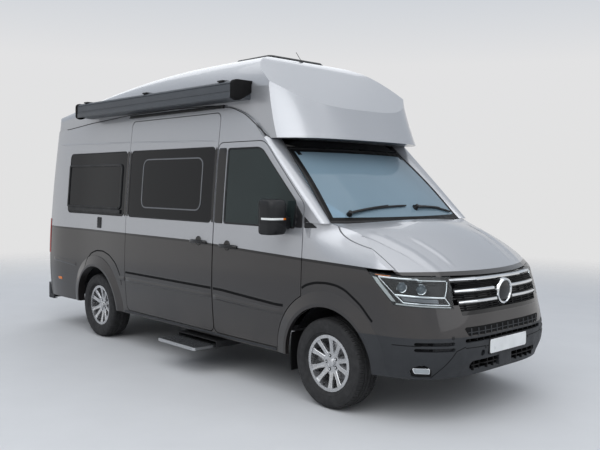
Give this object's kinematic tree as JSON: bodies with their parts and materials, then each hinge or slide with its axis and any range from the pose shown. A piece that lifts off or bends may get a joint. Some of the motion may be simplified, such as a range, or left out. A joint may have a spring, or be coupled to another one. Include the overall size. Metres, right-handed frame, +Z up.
{
  "type": "camper van",
  "caption": "High-roof camper van with hollow cab and living space, opening doors, bonnet, flaps and roof hatch, steered wheels, awning cassette and slide-out step.",
  "frame": {"origin": "on the ground, midway between the ends and sides of the vehicle", "axes": "+X forward, +Y to the vehicle's left, +Z up"},
  "size_m": [5.9882, 2.426, 2.9698],
  "materials": {
    "paint_silver": "silver metallic, clear coated",
    "paint_grey": "dark grey metallic, clear coated",
    "roof_moulding": "silver metallic moulding",
    "dark_plastic": "fine textured charcoal",
    "black_gloss": "gloss black",
    "chrome": "bright",
    "dark_glass": "privacy tint",
    "clear_glass": "light green tint",
    "lamp_lens": "clear lens",
    "red_lens": "red lens",
    "tyre": "satin black rubber",
    "alloy": "silver painted alloy",
    "steel_dark": "dark chassis steel",
    "underbody": "sealed floor paint",
    "aluminium": "satin anodised",
    "anthracite": "anthracite powder coat",
    "seat_cloth": "woven charcoal",
    "mattress": "pale woven cover",
    "cabinet": "pale laminate",
    "dash_plastic": "grained plastic"
  },
  "bodies": {
    "body": {"body_side_right": "paint_silver", "body_side_left": "paint_silver", "rear_frame": "paint_silver", "roof_cap": "roof_moulding", "windscreen": "clear_glass", "header_band": "black_gloss", "cowl": "dark_plastic", "front_wings": "paint_silver", "headlamps": "lamp_lens", "bumper_upper": "paint_grey", "bumper_lower": "dark_plastic", "grille": "chrome", "sliding_door": "paint_silver", "sliding_glass": "dark_glass", "side_glass": "dark_glass", "tail_lamps": "red_lens", "front_subframe": "steel_dark", "rear_axle": "steel_dark", "floor_pan": "underbody", "wheelhouses": "dark_plastic", "awning": "anthracite", "step_housing": "aluminium", "rear_bumper": "dark_plastic", "engine_block": "steel_dark", "fuel_tank": "dark_plastic", "exhaust": "steel_dark", "dashboard": "dash_plastic", "seats": "seat_cloth", "kitchen_unit": "cabinet", "bathroom_unit": "cabinet", "rear_bed": "mattress"},
    "front_door_right": {"front_door_right": "paint_silver", "door_glass_right": "clear_glass", "mirror_right": "black_gloss"},
    "front_door_left": {"front_door_left": "paint_silver", "door_glass_left": "clear_glass", "mirror_left": "black_gloss"},
    "rear_door_right": {"rear_door_right": "paint_silver", "rear_glass_right": "dark_glass"},
    "rear_door_left": {"rear_door_left": "paint_silver", "rear_glass_left": "dark_glass"},
    "bonnet": {"bonnet": "paint_silver"},
    "roof_hatch": {"roof_hatch": "dark_glass"},
    "fuel_flap": {"fuel_flap": "paint_silver"},
    "service_flap": {"service_flap": "paint_silver"},
    "knuckle_right": {"knuckle_right": "steel_dark"},
    "knuckle_left": {"knuckle_left": "steel_dark"},
    "wheel_front_right": {"tyre_front_right": "tyre", "rim_front_right": "alloy"},
    "wheel_front_left": {"tyre_front_left": "tyre", "rim_front_left": "alloy"},
    "wheel_rear_right": {"tyre_rear_right": "tyre", "rim_rear_right": "alloy"},
    "wheel_rear_left": {"tyre_rear_left": "tyre", "rim_rear_left": "alloy"},
    "steering_wheel": {"steering_wheel": "dash_plastic"},
    "step": {"step_tread": "aluminium"}
  },
  "joints": [
    {"name": "door_front_right", "type": "hinge", "parent": "body", "child": "front_door_right", "pos_m": [1.692, -1.0001, 1], "axis": [0, 0, 1], "range_deg": [0, 70]},
    {"name": "door_front_left", "type": "hinge", "parent": "body", "child": "front_door_left", "pos_m": [1.692, 1.0001, 1], "axis": [0, 0, -1], "range_deg": [0, 70]},
    {"name": "door_rear_right", "type": "hinge", "parent": "body", "child": "rear_door_right", "pos_m": [-2.9153, -0.7647, 1.4], "axis": [0.0483, 0, 0.9988], "range_deg": [0, 180]},
    {"name": "door_rear_left", "type": "hinge", "parent": "body", "child": "rear_door_left", "pos_m": [-2.9153, 0.7647, 1.4], "axis": [-0.0483, 0, -0.9988], "range_deg": [0, 180]},
    {"name": "bonnet_lid", "type": "hinge", "parent": "body", "child": "bonnet", "pos_m": [1.945, 0, 1.45], "axis": [0, -1, 0], "range_deg": [0, 55]},
    {"name": "roof_hatch_tilt", "type": "hinge", "parent": "body", "child": "roof_hatch", "pos_m": [0.6, 0, 2.97], "axis": [0, 1, 0], "range_deg": [0, 50]},
    {"name": "fuel_flap_hinge", "type": "hinge", "parent": "body", "child": "fuel_flap", "pos_m": [0.4985, 1.0205, 1.01], "axis": [0, 0, -1], "range_deg": [0, 90]},
    {"name": "service_flap_hinge", "type": "hinge", "parent": "body", "child": "service_flap", "pos_m": [-2.44, 1.0375, 1.0285], "axis": [1, 0, 0], "range_deg": [0, 90]},
    {"name": "steer_left", "type": "hinge", "parent": "body", "child": "knuckle_left", "pos_m": [1.997, 0.735, 0.3555], "axis": [0, 0, 1], "range_deg": [-35, 35]},
    {"name": "steer_right", "type": "hinge", "parent": "body", "child": "knuckle_right", "pos_m": [1.997, -0.735, 0.3555], "axis": [0, 0, 1], "range_deg": [-35, 35]},
    {"name": "steering_wheel_turn", "type": "hinge", "parent": "body", "child": "steering_wheel", "pos_m": [1.215, 0.48, 1.3], "axis": [-0.788, 0, 0.6157], "range_deg": [-540, 540]},
    {"name": "spin_front_right", "type": "hinge", "parent": "knuckle_right", "child": "wheel_front_right", "pos_m": [1.997, -0.864, 0.3555], "axis": [0, 1, 0], "continuous": true},
    {"name": "spin_rear_right", "type": "hinge", "parent": "body", "child": "wheel_rear_right", "pos_m": [-1.643, -0.879, 0.3555], "axis": [0, 1, 0], "continuous": true},
    {"name": "spin_front_left", "type": "hinge", "parent": "knuckle_left", "child": "wheel_front_left", "pos_m": [1.997, 0.864, 0.3555], "axis": [0, 1, 0], "continuous": true},
    {"name": "spin_rear_left", "type": "hinge", "parent": "body", "child": "wheel_rear_left", "pos_m": [-1.643, 0.879, 0.3555], "axis": [0, 1, 0], "continuous": true},
    {"name": "step_slide", "type": "slide", "parent": "body", "child": "step", "axis": [0, -1, 0], "range_m": [-0.225, 0]}
  ],
  "couplings": [
    {"joint": "steer_right", "follows": "steer_left", "ratio": 1},
    {"joint": "steering_wheel_turn", "follows": "steer_left", "ratio": 15.4}
  ]
}
